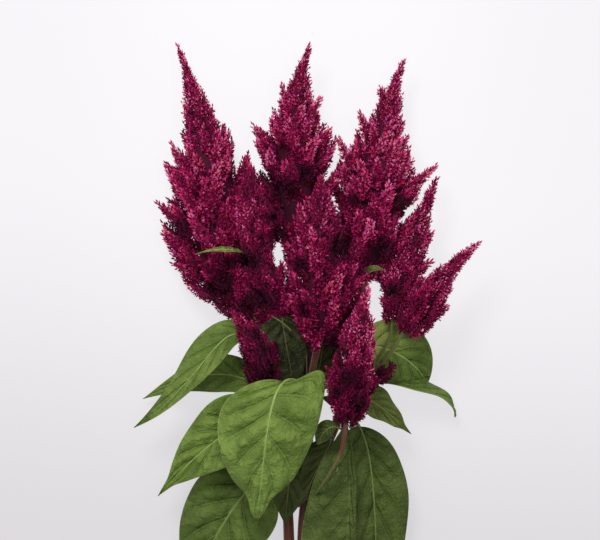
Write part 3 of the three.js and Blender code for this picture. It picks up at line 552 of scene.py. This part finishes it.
def leaf_material():
    """A blade's material: its veins follow the leaf map, and its greens the leaf's painted light and shade,
    with the pallor of pale base and streak.
    """
    n = Nodes("leaf")
    leaf_map = n.add("ShaderNodeUVMap", uv_map="leaf_map").outputs["UV"]
    parts = n.add("ShaderNodeSeparateXYZ", {0: leaf_map})
    across = n.math("ABSOLUTE", n.minus(n.times(parts.outputs["X"], 2.0), 1.0))
    run = n.times(n.math("POWER", across, VEIN_CURVE), VEIN_REACH)
    phase = n.times(n.minus(parts.outputs["Y"], run), float(VEIN_PAIRS))
    nearness = n.times(n.math("ABSOLUTE", n.minus(n.math("FRACT", phase), 0.5)), 2.0)
    vein = n.between(nearness, n.between(across, 0, 1, 0.9, 0.97, "LINEAR"), 1.0)
    fading = n.times(n.between(across, 0.95, 0.5), n.between(parts.outputs["Y"], 0.95, 0.8))
    midrib = n.between(across, 0.045, 0.012)
    lines = n.math("MAXIMUM", n.times(n.times(vein, fading), 0.45), midrib)
    lines = n.times(lines, n.attribute("veins"))
    # painted light and shade: each leaf's greens are lit and shaded copies of one green
    painted_light_and_pallor = n.attribute("painted_light_and_pallor")
    under = n.attribute("under")
    blotches = n.between(n.noise(45, 3, 0.5), 0.34, 0.66)
    light = n.mix(blotches, (0.106, 0.169, 0.026), (0.182, 0.270, 0.052))
    dark = n.mix(blotches, (0.016, 0.019, 0.006), (0.034, 0.038, 0.011))
    green = n.mix(painted_light_and_pallor, dark, light)
    wrinkle = n.math("ABSOLUTE", n.minus(n.noise(62, 3, 0.5), 0.5))
    crease_shade = n.between(wrinkle, 0.09, 0.0)
    valley = n.times(n.between(nearness, 0.7, 0.95), fading)
    # painted shade: darker green in the valleys along the side veins and in the creases
    shade = n.times(n.math("MAXIMUM", valley, n.times(crease_shade, 0.5)), 0.5)
    green = n.mix(shade, green, n.mix(painted_light_and_pallor, (0.010, 0.012, 0.003), (0.040, 0.078, 0.010)))
    pale = n.mix(painted_light_and_pallor, (0.055, 0.06, 0.018), (0.30, 0.42, 0.11))
    green = n.mix(n.times(lines, 0.75), green, pale)
    edge = n.between(across, 0.965, 1.0)
    green = n.mix(n.times(edge, 0.5), green, pale)
    green = n.mix(n.times(under, n.times(painted_light_and_pallor, 0.5)), green, pale)
    yellow = n.between(painted_light_and_pallor, 1.0, 2.0, kind="LINEAR")
    green = n.mix(yellow, green, (0.42, 0.44, 0.12))
    n.set("Base Color", n.mix(n.attribute("dry"), green, (0.17, 0.145, 0.05)))
    gloss = n.between(blotches, 0, 1, 0.45, 0.6)
    n.set("Roughness", n.plus(gloss, n.times(under, 0.2)))
    n.set("Specular IOR Level", 0.16)
    puckers = n.between(wrinkle, 0.0, 0.2)
    inputs = {"Scale": 420, "Vector": n.coordinates()}
    cells = n.add("ShaderNodeTexVoronoi", inputs, feature="DISTANCE_TO_EDGE")
    net = n.between(cells.outputs["Distance"], 0, 0.25)
    relief = n.plus(puckers, n.times(net, 0.16))
    n.bump(n.minus(relief, n.times(valley, 0.4)), 1.7, 1.0)
    return n.material


def rib_material():
    """The petiole's and the midrib's material, lighter or darker with the leaf's painted light and shade."""
    n = Nodes("leaf_rib")
    streak = n.noise(260, 2)
    # painted light and shade, as the leaf's
    painted_light_and_pallor = n.attribute("painted_light_and_pallor")
    light = n.mix(streak, (0.20, 0.30, 0.06), (0.36, 0.46, 0.14))
    dark = n.mix(streak, (0.05, 0.05, 0.015), (0.10, 0.09, 0.03))
    n.set("Base Color", n.mix(painted_light_and_pallor, dark, light))
    n.set("Roughness", 0.5)
    n.set("Specular IOR Level", 0.3)
    n.bump(streak, 0.15, 0.5)
    return n.material


def stem_material():
    """The stem's red-brown, patchily green where a branch is fresh, with streaks along it."""
    n = Nodes("stem")
    green = n.attribute("green")
    stretch = n.add("ShaderNodeMapping", {"Scale": (1, 0.12, 1), "Vector": n.coordinates()})
    streak = n.noise(700, 4, 0.6, stretch.outputs["Vector"])
    patches = n.noise(60, 3)
    ripeness = n.plus(green, n.times(n.minus(patches, 0.5), 0.9))
    red = n.mix(streak, (0.045, 0.012, 0.007), (0.155, 0.048, 0.026))
    fresh = n.mix(streak, (0.055, 0.060, 0.014), (0.16, 0.17, 0.05))
    n.set("Base Color", n.mix(n.between(ripeness, 0.25, 0.75), red, fresh))
    n.set("Roughness", 0.42)
    n.set("Specular IOR Level", 0.3)
    n.bump(streak, 0.25, 0.7)
    return n.material


# Plumes

def seat(points):
    """Presses what would reach below the surface flat on it."""
    z = points[..., 2]
    points[..., 2] = np.where(z < PRESSED, PRESSED * np.exp(np.minimum(z - PRESSED, 0) / PRESSED), z)
    return points


def sprig_size(r):
    """The size of the small sprigs where a plume has the half-width r, as a share of the full size."""
    return np.clip(r / FULL_WIDTH, SMALLEST_TWIG, LARGEST_TWIG)


def spread_over(plume, pitch, rng):
    """Places spread evenly over a plume's skin, closer where it is slim: share of the axis, and angle."""
    t = np.linspace(0, 1, AXIS_STEPS)
    r = np.maximum(catmull(plume["radii"], t, False)[:, 0], 1.5)
    step = np.linalg.norm(np.diff(bezier(plume["axis"], t)[0], axis=0), axis=1)
    middle = (r[1:] + r[:-1]) / 2
    skin = math.pi * (1 + plume["depth"]) * middle * step
    places = skin / (pitch * sprig_size(middle)) ** 2 / TWIG_PACKING
    total = np.concatenate([[0], np.cumsum(places)])
    count = max(6, int(total[-1]))
    place = (np.arange(count) + 0.5 + TWIG_JITTER * (rng.random(count) - 0.5)) / count * total[-1]
    angle = np.arange(count) * GOLDEN + TWIG_JITTER * (rng.random(count) - 0.5)
    return np.interp(place, total, t), angle


def skin_point(plume, t, angle, share=1.0):
    """The point of a plume's skin, and the outward and onward directions there."""
    r = np.maximum(catmull(plume["radii"], t, False)[:, 0], 0.8) * share
    centre, onward = bezier(plume["axis"], t)
    side, up = cross_frame(onward, UP)
    across = side * np.cos(angle)[:, None] + up * (np.sin(angle) * plume["depth"])[:, None]
    return centre + across * r[:, None], unit(across), onward, r


def lumps(points, size):
    """Smooth swells and hollows through space, from about -1 to 1."""
    x, y, z = (points / size).T
    first = np.sin(1.3 * x + 1.9 * np.sin(0.8 * y + 0.7 * z))
    second = np.sin(1.2 * y + 1.7 * np.sin(0.9 * x - 0.8 * z + 2.0))
    third = np.sin(1.4 * z + 1.5 * np.sin(0.7 * x + 0.9 * y + 4.0))
    return (first + second + third) / 2


def hollow(points):
    """How deep in one of the dark hollows each point lies, from 0 to 1."""
    depth = np.zeros(len(points))
    for x, y, size in HOLLOWS:
        away = np.hypot(points[:, 0] - x, points[:, 1] - y) / size
        depth = np.maximum(depth, np.minimum(1, HOLLOW_DEPTH * np.exp(-HOLLOW_FALL * away ** 2)))
    return depth


def in_opening(points):
    """Which points lie in one of the openings."""
    inside = np.zeros(len(points), bool)
    for x, y, wide, high in OPENINGS:
        inside |= ((points[:, 0] - x) / wide) ** 2 + ((points[:, 1] - y) / high) ** 2 < 1
    return inside


def sprig_line(root, bend, tip, s):
    """A sprig's centre line and its direction at the share s of its length."""
    s = s[..., None]
    centre = root * (1 - s) ** 2 + 2 * bend * s * (1 - s) + tip * s * s
    return centre, unit((bend - root) * (1 - s) + (tip - bend) * s)


def twigs(plume, pitch, length, radius, rng):
    """The small sprigs that cover a plume: root, bend, tip, half-width, brightness and outward direction."""
    t, angle = spread_over(plume, pitch, rng)
    skin, out, onward, r = skin_point(plume, t, angle)
    count = len(r)
    size = sprig_size(r) * rng.uniform(*TWIG_SIZES, count)
    lean = np.clip(TWIG_LEAN + r / LEAN_WIDTH, *LEAN_RANGE)[:, None]
    towards = unit(lean * out + onward + TWIG_SCATTER * rng.standard_normal(out.shape))
    swell = np.clip(lumps(skin, LUMP_SIZE), -1, 1)
    dark = hollow(skin)
    reach = TWIG_REACH + SWELL_REACH * np.minimum(swell, SWELL_MOST)
    reach = reach + REACH_SCATTER * rng.standard_normal(count).clip(-1.5, 0.9)
    reach = reach - PUSH_IN * dark * np.clip(1.5 * out[:, 2], 0, 1)
    tip = skin_point(plume, t, angle, reach)[0]
    tip = tip + onward * (TWIG_ONWARD * size * (1 - t))[:, None]
    long = (length * size)[:, None]
    root = tip - towards * long
    bend = (root + tip) / 2 + (out - BOW_BACK * onward) * (TWIG_BOW * long)
    # painted light and shade: darker towards the plume's base, lighter towards its lit tip
    low, high = plume["painted_light"]
    facing_up = np.clip(1.6 * out[:, 2], 0, 1)
    to_tip = np.clip((t - TIP_START) / (1 - TIP_START), 0, 1)
    # painted light on the swells and painted shade in the dips between them
    shade = (low + (high - low) * t) * (SWELL_PAINTED_LIGHT[0] + SWELL_PAINTED_LIGHT[1] * swell)
    shade = shade * rng.uniform(*TWIG_SHADES, count)
    # painted light where a sprig faces up, painted shade at the plume's sides
    shade = shade * (SIDE_PAINTED_SHADE[0] + SIDE_PAINTED_SHADE[1] * facing_up) * (1 - TIP_SHADE * to_tip)
    clear = (dark < BARE_HOLLOW) | (out[:, 2] < BARE_FACING) | (r < BARE_WIDTH)
    for s in CLEAR_PLACES:
        clear &= ~in_opening(sprig_line(root, bend, tip, np.full(count, s))[0])
    return tuple(column[clear] for column in (root, bend, tip, radius * size, shade, out))


def leader(axis, start, radius, shade):
    """The one sprig that a plume or a side sprig ends in, which follows its axis."""
    root, half, tip = bezier(axis, [start, (1 + start) / 2, 1])[0]
    bend = 2 * half - (root + tip) / 2
    return root[None], bend[None], tip[None], np.array([radius]), np.full(1, shade), UP[None]


def side_sprigs(plume, rng):
    """The side sprigs that break the outline. A thick one is a small plume of its own."""
    parts = []
    for share, x, y, z, scale in plume["sprigs"]:
        start, along = bezier(plume["axis"], share)
        end = np.array([x, y, z], float)
        lag = SIDE_LAG * np.linalg.norm(end - start) * along
        near, far = (start + place * (end - start) for place in SIDE_BENDS)
        axis = [start, near, far - lag, end]
        # painted light and shade, taken from the place on the plume where the side sprig leaves it
        low, high = plume["painted_light"]
        shade = low + (high - low) * share
        radii = [SPRIG_GIRTH * r * scale for r in SPRIG_RADII]
        sprig = dict(axis=axis, radii=radii, depth=1, painted_light=[b * shade for b in SPRIG_PAINTED_LIGHT])
        parts.append(leader(axis, SIDE_LEADER_START, SIDE_RADIUS * scale ** 0.5, shade))
        parts.append(twigs(sprig, SIDE_PITCH, SIDE_LENGTH, SIDE_RADIUS, rng))
    return parts


def florets(root, bend, tip, radius, shade, outward, rng):
    """Florets set round each sprig: places, directions, lengths, how far each opens, and tints."""
    length = np.linalg.norm(tip - root, axis=1)
    skin = 2 * math.pi * radius * MEAN_GIRTH * length * (1 - TWIG_START)
    count = np.maximum(FLORETS_LEAST, np.round(skin / FLORET_PITCH ** 2)).astype(int)
    owner = np.repeat(np.arange(len(root)), count)
    k = np.arange(len(owner)) - np.repeat(np.cumsum(count) - count, count)
    q = (k + rng.random(len(owner))) / count[owner]
    along = 1 - (1 - q) ** 0.6
    s = TWIG_START + (1 - TWIG_START) * along
    centre, axis = sprig_line(root[owner], bend[owner], tip[owner], s)
    side, up = cross_frame(axis, FLORET_SLANT)
    angle = k * GOLDEN + owner * 1.7 + 0.4 * rng.standard_normal(len(owner))
    out = turned(side, up, angle)
    girth = radius[owner] * twig_taper(along) * rng.uniform(*FLORET_DEPTHS, len(owner))
    place = centre + out * girth[:, None]
    facing = unit(out * (1.05 * (1 - along) ** 0.4)[:, None] + axis * (0.55 + 0.6 * along)[:, None])
    scale = TEPAL_LENGTH * (0.95 + 0.3 * along ** 3) * rng.uniform(*FLORET_SIZES, len(owner))
    scale = scale * np.clip(0.5 + radius[owner] / 8, 0.65, 1)
    spread = np.radians(OPEN_ANGLE - CLOSING_ANGLE * along)
    lit = (out * outward[owner]).sum(1)
    # painted shade towards a sprig's root and painted light where a floret looks out of the plume
    tint = shade[owner] * (SHADED_ROOT_TINT + ALONG_TINT * along - TIP_TINT * along ** 6 + PAINTED_LIT_TINT * lit)
    tint = (tint + TINT_SCATTER * rng.standard_normal(len(owner))) * (1 + 0.2 * lumps(place, TINT_LUMPS))
    # painted shade in the hollows
    return place, facing, scale, spread, tint * (1 - HOLLOW_PAINTED_SHADE * hollow(place))


def twig_taper(along):
    """How thick a sprig is along its flowering part, as a share of its half-width."""
    return (1 - along) ** 0.75 * np.minimum(1, 0.6 + 1.6 * along)


def twig_cores(root, bend, tip, radius):
    """The slim core of each sprig, which fills it between its florets; its dark tint is painted shade."""
    along = np.array([0.0, 0.25, 0.5, 0.75, 0.96])
    s = TWIG_START + (1 - TWIG_START) * along
    count, rings, sides = len(root), len(s), TWIG_SIDES
    centre, axis = sprig_line(root[:, None], bend[:, None], tip[:, None], s[None])
    side, up = cross_frame(axis, FLORET_SLANT)
    angle = np.arange(sides) * 2 * math.pi / sides
    spread = turned(side[:, :, None], up[:, :, None], angle)
    thick = TWIG_CORE * radius[:, None] * twig_taper(along)[None]
    vertices = seat((centre[:, :, None] + spread * thick[:, :, None, None]).reshape(-1, 3))
    k, j, i = np.meshgrid(np.arange(count), np.arange(rings - 1), np.arange(sides), indexing="ij")
    first = (k * rings + j) * sides
    p, q = first + i, first + (i + 1) % sides
    triangles = np.stack([p, q, q + sides, p, q + sides, p + sides], -1).reshape(-1, 3)
    return vertices, triangles


def tepal_mesh(place, facing, scale, spread, tint, rng):
    """Each floret's tepals, every one a sliver of two triangles folded along its middle."""
    count = len(place)
    shape = (count, TEPALS)
    side, up = cross_frame(facing, TEPAL_SLANT)
    turn = np.arange(TEPALS)[None] / TEPALS + rng.random((count, 1)) + 0.05 * rng.standard_normal(shape)
    angle = 2 * math.pi * turn
    opening = spread[:, None] * rng.uniform(0.6, 1.1, (count, 1)) + 0.12 * rng.standard_normal(shape)
    out = turned(side[:, None], up[:, None], angle)
    wide = turned(up[:, None], -side[:, None], angle)
    along = turned(facing[:, None], out, opening)
    inward = turned(-out, facing[:, None], opening)
    length = (scale[:, None] * rng.uniform(*TEPAL_SIZES, shape))[..., None]
    base = np.broadcast_to(place[:, None], along.shape)
    middle = base + along * length * TEPAL_BELLY + inward * length * TEPAL_CURL[0]
    half = wide * length * (TEPAL_WIDTH / 2)
    tip = base + along * length + inward * length * TEPAL_CURL[1]
    vertices = seat(np.stack([base, middle + half, tip, middle - half], axis=2).reshape(-1, 3))
    first = np.arange(count * TEPALS)[:, None, None] * 4
    triangles = (first + np.array([[0, 1, 2], [0, 2, 3]])[None]).reshape(-1, 3)
    shade = np.clip(tint, *TINT_RANGE)[:, None]
    shade = shade * (1 + 0.08 * rng.standard_normal(shape) + PALER * (rng.random(shape) < PALE_TEPALS))
    shade = shade[..., None] * TEPAL_TINTS
    vary = np.repeat(rng.random(count), TEPALS * 4)
    return vertices, triangles, np.clip(shade, 0, 1).ravel(), vary


def plume_core(plume):
    """The body that the sprigs stand out of, dark with painted shade where one sees into the plume."""
    t = np.linspace(0.01, CORE_END, CORE_RINGS)
    radii = np.maximum(catmull(plume["radii"], t, False)[:, 0] * CORE_SHARE, 0.6)
    centres, tangents = bezier(plume["axis"], t)
    vertices, triangles = tube(centres, tangents, radii, CORE_SIDES)[:2]
    middle = np.vstack([np.repeat(centres, CORE_SIDES, axis=0), centres[:1], centres[-1:]])
    vertices[:, 2] = middle[:, 2] + (vertices[:, 2] - middle[:, 2]) * plume["depth"]
    return seat(vertices), triangles


def make_plume(name, index, material):
    """A plume's florets and its cores, dark with painted shade, as one piece."""
    plume = PLUMES[name]
    rng = np.random.default_rng(FLORET_SEED + index)
    parts = [twigs(plume, TWIG_PITCH, TWIG_LENGTH, TWIG_RADIUS, rng)] + side_sprigs(plume, rng)
    parts.append(leader(plume["axis"], LEADER_START, SIDE_RADIUS, LEADER_SHADE * plume["painted_light"][1]))
    every = [np.concatenate(column) for column in zip(*parts)]
    vertices, triangles, tint, vary = tepal_mesh(*florets(*every, rng), rng)
    # the cores, dark with painted shade
    cores = ((*twig_cores(*every[:4]), TWIG_CORE_PAINTED_SHADE), (*plume_core(plume), PLUME_CORE_PAINTED_SHADE))
    for core, core_triangles, core_tint in cores:
        triangles = np.vstack([triangles, core_triangles + len(vertices)])
        vertices = np.vstack([vertices, core])
        # painted shade in the hollows
        tint = np.concatenate([tint, core_tint * (1 - CORE_HOLLOW_PAINTED_SHADE * hollow(core))])
        vary = np.concatenate([vary, np.full(len(core), 0.5)])
    return make_piece(name + "_florets", vertices, triangles, {"tint": tint, "vary": vary}, [material])


# Leaves

def blade_half_width(leaf, s):
    """The blade's half-width at the share s of its length."""
    b = leaf["belly"]
    s = np.clip(s, 1e-6, 1)
    drip = 1 - leaf.get("drip", 0) * np.exp(-((s - DRIP_PLACE) / DRIP_LENGTH) ** 2)
    return leaf["half"] * ((s / b) ** b * ((1 - s) / (1 - b)) ** (1 - b)) ** BLADE_POINT * drip


def vein_phase(s, u):
    """Where a place on the blade lies between one side vein and the next: 0 on a vein, 0.5 halfway."""
    return (s - VEIN_REACH * np.abs(u) ** VEIN_CURVE) * VEIN_PAIRS % 1


def from_midrib(leaf, u):
    """How far across from the midrib a place lies, from -1 to 1. The midrib may run off the middle."""
    m = leaf.get("midline", 0)
    return np.where(u < m, (u - m) / (1 + m), (u - m) / (1 - m))


def blade_points(leaf, s, u):
    """The blade's middle surface and its normal, at the share s of its length and u across it, -1 to 1."""
    t = leaf["petiole"] + (1 - leaf["petiole"]) * s
    centre, tangent = bezier(leaf["midrib"], t)
    base, tip = (unit(np.array(f, float)) for f in leaf["face"])
    side, up = cross_frame(tangent, unit(base + (tip - base) * t[..., None]))
    width = np.maximum(blade_half_width(leaf, s), 0.15)
    fold = math.radians(leaf["fold"])
    taper = np.sin(math.pi * np.clip(s, 0, 1))
    height, count = leaf["waves"]
    ripple = height * u * u * np.sin(2 * math.pi * count * s + 1.3 * u) * taper
    v = from_midrib(leaf, u)
    swell = leaf.get("quilt", 1) * QUILT * leaf["half"] * (1 - np.cos(2 * math.pi * vein_phase(s, v)))
    groove = GROOVE * leaf["half"] * np.exp(-(v / GROOVE_WIDTH) ** 2)
    swell = swell * np.sin(math.pi * np.abs(v)) ** 0.7 - groove
    left, right = leaf.get("lobes", (0, 0))
    lobe = np.where(u < 0, left, right) * np.abs(u) ** LOBE_CURVE * (1 - LOBE_ROUNDING * u ** 6)
    lobe = lobe * width / leaf["half"] * (1 - s) ** LOBE_SPREAD
    rise = np.abs(u) * width * math.sin(fold) + ripple + swell * taper ** 0.5
    point = centre + side * (u * width * math.cos(fold))[..., None] - tangent * lobe[..., None]
    return point + up * rise[..., None], up


def blade_shell(leaf):
    """A blade's upper and lower faces and the rim that joins them: vertices, triangles and leaf map."""
    rows, columns = BIG_GRID if leaf["half"] > BIG_LEAF else SMALL_GRID
    s, u = np.meshgrid(np.linspace(*BLADE_ENDS, rows), np.linspace(-1, 1, columns), indexing="ij")
    middle, up = blade_points(leaf, s, u)
    thick = BLADE_THICKNESS / 2
    upper, lower = middle + up * thick, middle - up * thick
    vertices = np.vstack([upper.reshape(-1, 3), lower.reshape(-1, 3)])
    count = rows * columns
    grid = np.arange(count).reshape(rows, columns)
    a = grid[:-1, :-1].ravel()
    b, c, d = a + 1, a + 1 + columns, a + columns
    faces = [np.stack([a, b, c], 1), np.stack([a, c, d], 1)]
    faces += [f[:, ::-1] + count for f in faces]
    rim = np.concatenate([grid[0], grid[1:, -1], grid[-1, -2::-1], grid[-2:0:-1, 0]])
    after = np.roll(rim, -1)
    faces += [np.stack([rim, rim + count, after + count], 1), np.stack([rim, after + count, after], 1)]
    uv = np.stack([from_midrib(leaf, u).ravel() / 2 + 0.5, s.ravel()], 1)
    return vertices, np.vstack(faces), np.vstack([uv, uv])


def leaf_rib(leaf):
    """The petiole and the raised midrib under the blade that it runs into: vertices and triangles."""
    petiole = leaf["petiole"]
    t = np.linspace(0, petiole + (1 - petiole) * RIB_END, RIB_STEPS)
    s = np.clip((t - petiole) / (1 - petiole), 0, 1)
    thickness = np.where(s > 0, 1 - 0.86 * s ** 0.7, 1) * PETIOLE_RADIUS * min(1, 0.35 + leaf["half"] / 24)
    centres, tangents = bezier(leaf["midrib"], t)
    up = blade_points(leaf, np.clip(s, BLADE_ENDS[0], 1), np.zeros(len(t)))[1]
    centres = centres - up * (RIB_DEPTH * thickness)[:, None]
    return tube(centres, tangents, thickness, RIB_SIDES)[:2]


def make_leaf(name, blade, rib):
    """A leaf as one piece: its blade in the first material, its petiole and midrib in the second."""
    leaf = LEAVES[name]
    vertices, triangles, uv = blade_shell(leaf)
    rib_vertices, rib_triangles = leaf_rib(leaf)
    face = np.zeros(len(vertices) // 2)
    under = np.concatenate([face, face + 1, np.zeros(len(rib_vertices))])
    slot = np.concatenate([np.zeros(len(triangles), int), np.ones(len(rib_triangles), int)])
    triangles = np.vstack([triangles, rib_triangles + len(vertices)])
    vertices = np.vstack([vertices, rib_vertices])
    vertices[:, 2] = np.maximum(vertices[:, 2], BLADE_LOWEST)
    uv = np.vstack([uv, np.full((len(rib_vertices), 2), 0.5)])
    paler = leaf.get("pale_base", 0) * np.clip(1.4 - 2.4 * uv[:, 1], 0, 1)
    paler = paler + leaf.get("streak", 0) * np.clip(1 - 2.5 * np.abs(2 * uv[:, 0] - 1), 0, 1)
    veins = np.full(len(vertices), leaf.get("veins", 1.0))
    dry = np.full(len(vertices), leaf.get("dry", 0.0))
    # the leaf's painted light and shade, with the real pallor of pale base and streak added
    numbers = {"under": under, "painted_light_and_pallor": leaf["painted_light_and_pallor"] + paler, "veins": veins, "dry": dry}
    return make_piece(name + "_blade", vertices, triangles, numbers, [blade, rib], slot, uv, smooth=True)


# Stem

def make_stem(material):
    """All the branches, as one piece."""
    vertices, triangles, green, start = [], [], [], 0
    for branch in BRANCHES:
        steps = STEM_STEPS * (len(branch["points"]) - 1) + 1
        t = np.linspace(0, 1, steps)
        centres = catmull(branch["points"], t, True)
        tangents = unit(np.gradient(centres, axis=0))
        radii = np.interp(t, (0, 1), branch["radius"])
        v, f, along = tube(centres, tangents, radii, STEM_SIDES, STEM_RIBS, STEM_RIB_HEIGHT)
        vertices.append(v)
        triangles.append(f + start)
        green.append(np.interp(along, (0, 1), branch["green"]))
        start += len(v)
    vertices = np.vstack(vertices)
    vertices[:, 2] = np.maximum(vertices[:, 2], STEM_LOWEST)
    numbers = {"green": np.concatenate(green)}
    return make_piece("stem_branches", vertices, np.vstack(triangles), numbers, [material], smooth=True)


# Floor, light and camera

def make_floor():
    """A plain pale floor whose soft glow of its own is painted light that lightens the shadows on it, a
    little darker below the stem and at the sides like light falling off.
    """
    size = FLOOR_SIZE
    mesh = bpy.data.meshes.new("floor")
    corners = [(-size, -size, 0), (size, -size, 0), (size, size, 0), (-size, size, 0)]
    mesh.from_pydata(corners, [], [(0, 1, 2, 3)])
    n = Nodes("floor")
    parts = n.add("ShaderNodeSeparateXYZ", {0: n.coordinates()})
    side = n.between(n.math("ABSOLUTE", parts.outputs["X"]), 0.04, 0.22)
    place = n.plus(parts.outputs["Y"], n.times(parts.outputs["X"], 0.12))
    painted_light_falloff = n.between(place, -0.2, 0.15)
    painted_light_falloff = n.times(painted_light_falloff, n.minus(1.0, n.times(side, 0.2)))
    n.set("Base Color", (0.15, 0.145, 0.15, 1))
    # painted light: the floor's own glow, weaker where the light would fall off
    n.set("Emission Color", n.mix(painted_light_falloff, (0.57, 0.555, 0.575), (0.80, 0.79, 0.81)))
    n.set("Emission Strength", 1.0)
    n.set("Roughness", 0.9)
    n.set("Specular IOR Level", 0.1)
    mesh.materials.append(n.material)
    floor = in_scene("floor", mesh)


def area_light(name, place, power):
    """A round soft light that looks at the plumes."""
    data = bpy.data.lights.new(name, "AREA")
    data.shape = "DISK"
    data.size = LIGHT_SIZE
    data.energy = power
    light = in_scene(name, data)
    light.location = place
    x, y, z = np.array(LIGHT_TARGET, float) - np.array(place, float)
    pitch = math.atan2(-z, math.hypot(x, y))
    light.rotation_euler = (0, math.pi / 2 - pitch, math.atan2(y, x) + math.pi)


def set_light():
    world = bpy.data.worlds.new("studio")
    world.use_nodes = True
    background = world.node_tree.nodes["Background"]
    background.inputs["Color"].default_value = SKY_COLOUR
    background.inputs["Strength"].default_value = SKY_STRENGTH
    bpy.context.scene.world = world
    area_light("key", KEY_PLACE, KEY_POWER)
    area_light("fill", FILL_PLACE, FILL_POWER)
    bpy.context.scene.view_settings.view_transform = "Standard"


def set_camera():
    """A camera that looks straight down, far enough away to see the plumes almost without perspective."""
    data = bpy.data.cameras.new("camera")
    data.sensor_fit = "HORIZONTAL"
    data.sensor_width = FILM_WIDTH
    data.lens = FILM_WIDTH * (CAMERA_HEIGHT - PLUME_HEIGHT) / (PICTURE_WIDTH * PIXEL)
    data.clip_end = CLIP_END
    camera = in_scene("camera", data)
    camera.location = (PICTURE_CENTRE[0] * MM, PICTURE_CENTRE[1] * MM, CAMERA_HEIGHT * MM)
    bpy.context.scene.camera = camera


set_camera()
set_light()
make_floor()

floret = floret_material()
for index, name in enumerate(PLUMES):
    piece = make_plume(name, index, floret)
    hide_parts(name)
    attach(piece, "root")

blade = leaf_material()
rib = rib_material()
for name in LEAVES:
    piece = make_leaf(name, blade, rib)
    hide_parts(name)
    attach(piece, "root")

stem = make_stem(stem_material())
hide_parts("stem")
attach(stem, "root")
